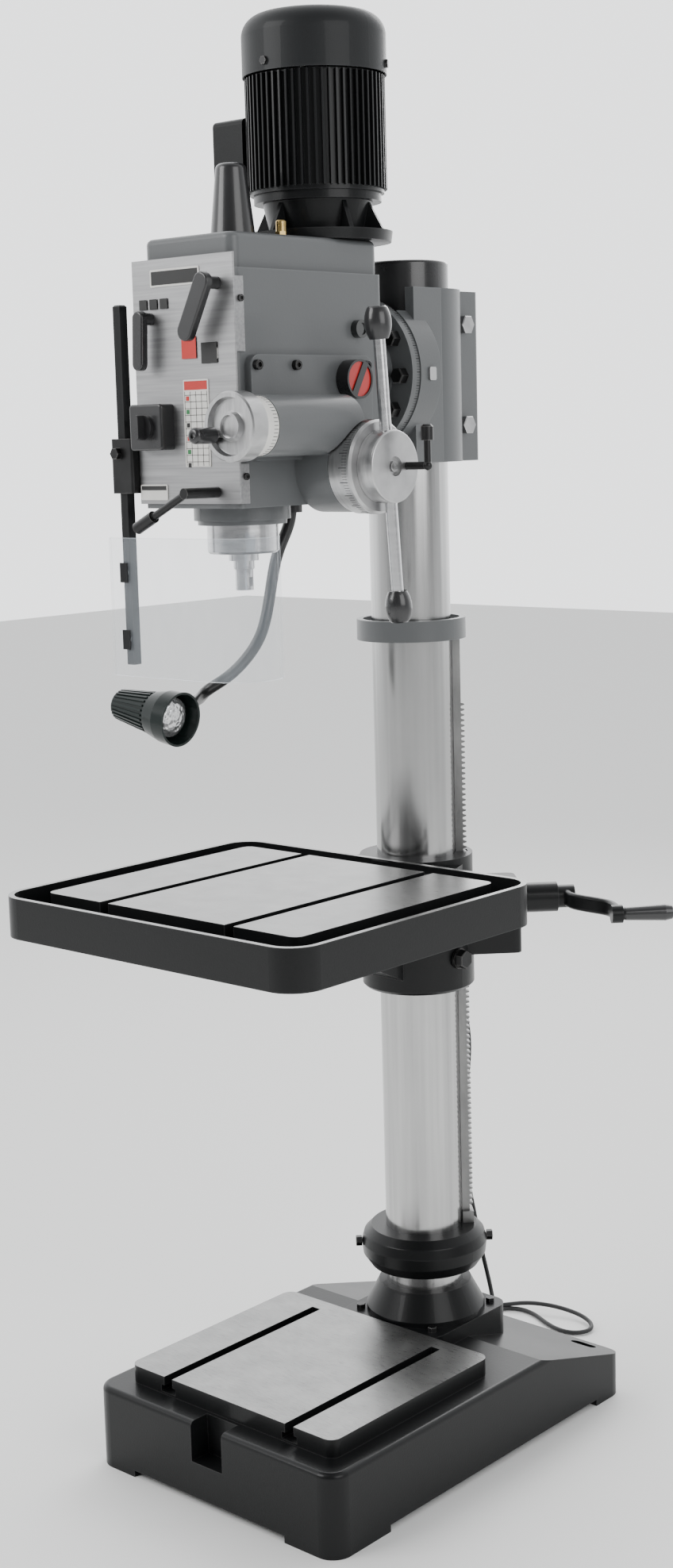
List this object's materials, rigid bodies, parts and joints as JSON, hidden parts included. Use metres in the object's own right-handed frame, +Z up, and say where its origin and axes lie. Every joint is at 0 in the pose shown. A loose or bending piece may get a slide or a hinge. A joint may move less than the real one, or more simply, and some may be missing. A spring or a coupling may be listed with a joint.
{
  "type": "pillar drill press",
  "caption": "Floor-standing geared pillar drill press with a cast slotted base, a crank-raised slotted table, tilting head, quill feed handles, guard and work lamp.",
  "frame": {"origin": "on the floor under the centre line of the column", "axes": "+Z up along the column, -Y towards the operator, +X to the operator's right"},
  "size_m": [0.6385, 0.9341, 2.01],
  "materials": {
    "cast_black": "satin black paint over cast texture",
    "black_steel": "black oxide",
    "ground_steel": "ground and polished",
    "black_phenolic": "moulded black phenolic",
    "grey_paint": "semi-gloss grey paint",
    "zinc_steel": "milled steel",
    "table_casting": "black paint with ground top",
    "machined_steel": "machined",
    "aluminium_satin": "satin turned",
    "brushed_aluminium": "brushed sheet",
    "motor_grey": "satin dark grey paint",
    "chrome_steel": "hard chrome",
    "brass": "plain",
    "sight_dark": "dark glass in a black ring",
    "dial_white": "engraved plate",
    "red_enamel": "red enamel",
    "clear_shield": "clear polycarbonate",
    "lamp_green": "gloss dark green enamel",
    "bulb_glass": "reflector bulb",
    "cord_rubber": "matt rubber"
  },
  "bodies": {
    "pillar": {"base": "cast_black", "column_socket": "cast_black", "column_fasteners": "black_steel", "column": "ground_steel", "column_cap": "black_phenolic", "upper_rack_ring": "grey_paint", "lower_rack_collar": "cast_black", "yoke": "grey_paint", "yoke_clamp_bolts": "black_steel", "tilt_pointer": "aluminium_satin", "electrical_box": "motor_grey", "cord_gland": "black_phenolic", "power_cord": "cord_rubber", "cord_coil": "cord_rubber", "plug": "cord_rubber"},
    "rack": {"rack": "zinc_steel"},
    "table": {"table": "table_casting", "table_clamp_bolt": "black_steel"},
    "lift_gear": {"lift_gear": "machined_steel"},
    "crank": {"table_crank": "cast_black"},
    "crank_grip": {"crank_grip": "black_phenolic"},
    "head": {"head_housing": "grey_paint", "head_fasteners": "black_steel", "gearbox_cover": "grey_paint", "front_panel": "brushed_aluminium", "motor_adaptor": "motor_grey", "motor_frame": "motor_grey", "fan_cover": "motor_grey", "terminal_box": "motor_grey", "spindle_cup": "black_phenolic", "oil_breather": "brass", "sight_glass": "sight_dark", "feed_box": "grey_paint", "panel_plates": "dial_white", "switch_box": "black_phenolic", "guard_bracket": "black_steel", "lamp_gooseneck": "black_steel", "lamp_head": "lamp_green", "lamp_bulb": "bulb_glass"},
    "motor_rotor": {"motor_rotor": "machined_steel"},
    "idler_gear": {"idler_gear": "machined_steel"},
    "spindle_gear": {"spindle_gear": "machined_steel"},
    "quill": {"quill": "chrome_steel"},
    "spindle": {"spindle": "chrome_steel"},
    "feed_hub": {"feed_hub": "aluminium_satin", "feed_handles": "chrome_steel", "handle_knobs": "black_phenolic"},
    "depth_dial": {"depth_dial": "aluminium_satin"},
    "dial_lock": {"dial_lock": "black_steel"},
    "handwheel": {"handwheel": "aluminium_satin"},
    "handwheel_dial": {"handwheel_dial": "dial_white"},
    "handwheel_knob": {"handwheel_knob": "black_phenolic"},
    "feed_selector": {"feed_selector": "black_phenolic", "selector_disc": "red_enamel"},
    "switch_knob": {"switch_knob": "black_phenolic"},
    "range_lever": {"range_lever": "black_phenolic"},
    "speed_lever": {"speed_lever": "black_phenolic"},
    "quill_lock": {"quill_lock": "black_steel"},
    "guard": {"guard_rod": "motor_grey", "guard_shield": "clear_shield"}
  },
  "joints": [
    {"name": "table_swing", "type": "hinge", "parent": "pillar", "child": "rack", "pos_m": [0, 0, 0.85], "axis": [0, 0, 1], "range_deg": [-75, 15]},
    {"name": "table_lift", "type": "slide", "parent": "rack", "child": "table", "axis": [0, 0, 1], "range_m": [-0.34, 0.18]},
    {"name": "lift_gear_turn", "type": "hinge", "parent": "table", "child": "lift_gear", "pos_m": [0.06364, 0.06364, 0.74], "axis": [0.7071, -0.7071, 0], "range_deg": [-1114, 590]},
    {"name": "crank_turn", "type": "hinge", "parent": "table", "child": "crank", "pos_m": [0.15274, 0.13011, 0.776], "axis": [0.7071, 0.7071, 0], "range_deg": [-6680, 3537]},
    {"name": "crank_grip_spin", "type": "hinge", "parent": "crank", "child": "crank_grip", "pos_m": [0.31608, 0.10819, 0.776], "axis": [0.7071, 0.7071, 0], "continuous": true},
    {"name": "head_tilt", "type": "hinge", "parent": "pillar", "child": "head", "pos_m": [0, -0.095, 1.54], "axis": [0, 1, 0], "range_deg": [-90, 90]},
    {"name": "motor_spin", "type": "hinge", "parent": "head", "child": "motor_rotor", "pos_m": [0, -0.177, 1.85], "axis": [0, 0, 1], "continuous": true},
    {"name": "idler_spin", "type": "hinge", "parent": "head", "child": "idler_gear", "pos_m": [0, -0.234, 1.645], "axis": [0, 0, 1], "continuous": true},
    {"name": "drive_gear_spin", "type": "hinge", "parent": "head", "child": "spindle_gear", "pos_m": [0, -0.343, 1.645], "axis": [0, 0, 1], "continuous": true},
    {"name": "quill_feed", "type": "slide", "parent": "head", "child": "quill", "axis": [0, 0, -1], "range_m": [0, 0.125]},
    {"name": "spindle_spin", "type": "hinge", "parent": "quill", "child": "spindle", "pos_m": [0, -0.343, 1.4], "axis": [0, 0, 1], "continuous": true},
    {"name": "feed_hub_turn", "type": "hinge", "parent": "head", "child": "feed_hub", "pos_m": [0.198, -0.276, 1.417], "axis": [1, 0, 0], "range_deg": [-1, 320]},
    {"name": "depth_dial_set", "type": "hinge", "parent": "feed_hub", "child": "depth_dial", "pos_m": [0.16, -0.276, 1.417], "axis": [1, 0, 0], "continuous": true},
    {"name": "dial_lock_turn", "type": "hinge", "parent": "feed_hub", "child": "dial_lock", "pos_m": [0.23, -0.253, 1.417], "axis": [1, 0, 0], "range_deg": [0, 90]},
    {"name": "handwheel_turn", "type": "hinge", "parent": "head", "child": "handwheel", "pos_m": [0.134, -0.48, 1.472], "axis": [0, 1, 0], "continuous": true},
    {"name": "handwheel_dial_set", "type": "hinge", "parent": "handwheel", "child": "handwheel_dial", "pos_m": [0.134, -0.46, 1.472], "axis": [0, 1, 0], "continuous": true},
    {"name": "handwheel_knob_spin", "type": "hinge", "parent": "handwheel", "child": "handwheel_knob", "pos_m": [0.107, -0.52, 1.462], "axis": [0, 1, 0], "continuous": true},
    {"name": "feed_selector_turn", "type": "hinge", "parent": "head", "child": "feed_selector", "pos_m": [0.11, -0.237, 1.53], "axis": [1, 0, 0], "range_deg": [-60, 60]},
    {"name": "switch_turn", "type": "hinge", "parent": "head", "child": "switch_knob", "pos_m": [-0.053, -0.47, 1.4745], "axis": [0, 1, 0], "range_deg": [0, 90]},
    {"name": "range_lever_turn", "type": "hinge", "parent": "head", "child": "range_lever", "pos_m": [0.062, -0.46, 1.65], "axis": [0, 1, 0], "range_deg": [-25, 0]},
    {"name": "speed_lever_turn", "type": "hinge", "parent": "head", "child": "speed_lever", "pos_m": [-0.06, -0.45, 1.612], "axis": [0, 1, 0], "range_deg": [-25, 25]},
    {"name": "quill_lock_turn", "type": "hinge", "parent": "head", "child": "quill_lock", "pos_m": [0.051, -0.49, 1.391], "axis": [0, 1, 0], "range_deg": [-15, 40]},
    {"name": "guard_slide", "type": "slide", "parent": "head", "child": "guard", "axis": [0, 0, 1], "range_m": [-0.045, 0.012]}
  ],
  "couplings": [
    {"joint": "lift_gear_turn", "follows": "table_lift", "rad_per_m": 57.143},
    {"joint": "crank_turn", "follows": "table_lift", "rad_per_m": 342.86},
    {"joint": "idler_spin", "follows": "motor_spin", "ratio": -0.26667},
    {"joint": "drive_gear_spin", "follows": "motor_spin", "ratio": 0.1875},
    {"joint": "spindle_spin", "follows": "motor_spin", "ratio": 0.1875},
    {"joint": "feed_hub_turn", "follows": "quill_feed", "rad_per_m": 44.444}
  ]
}
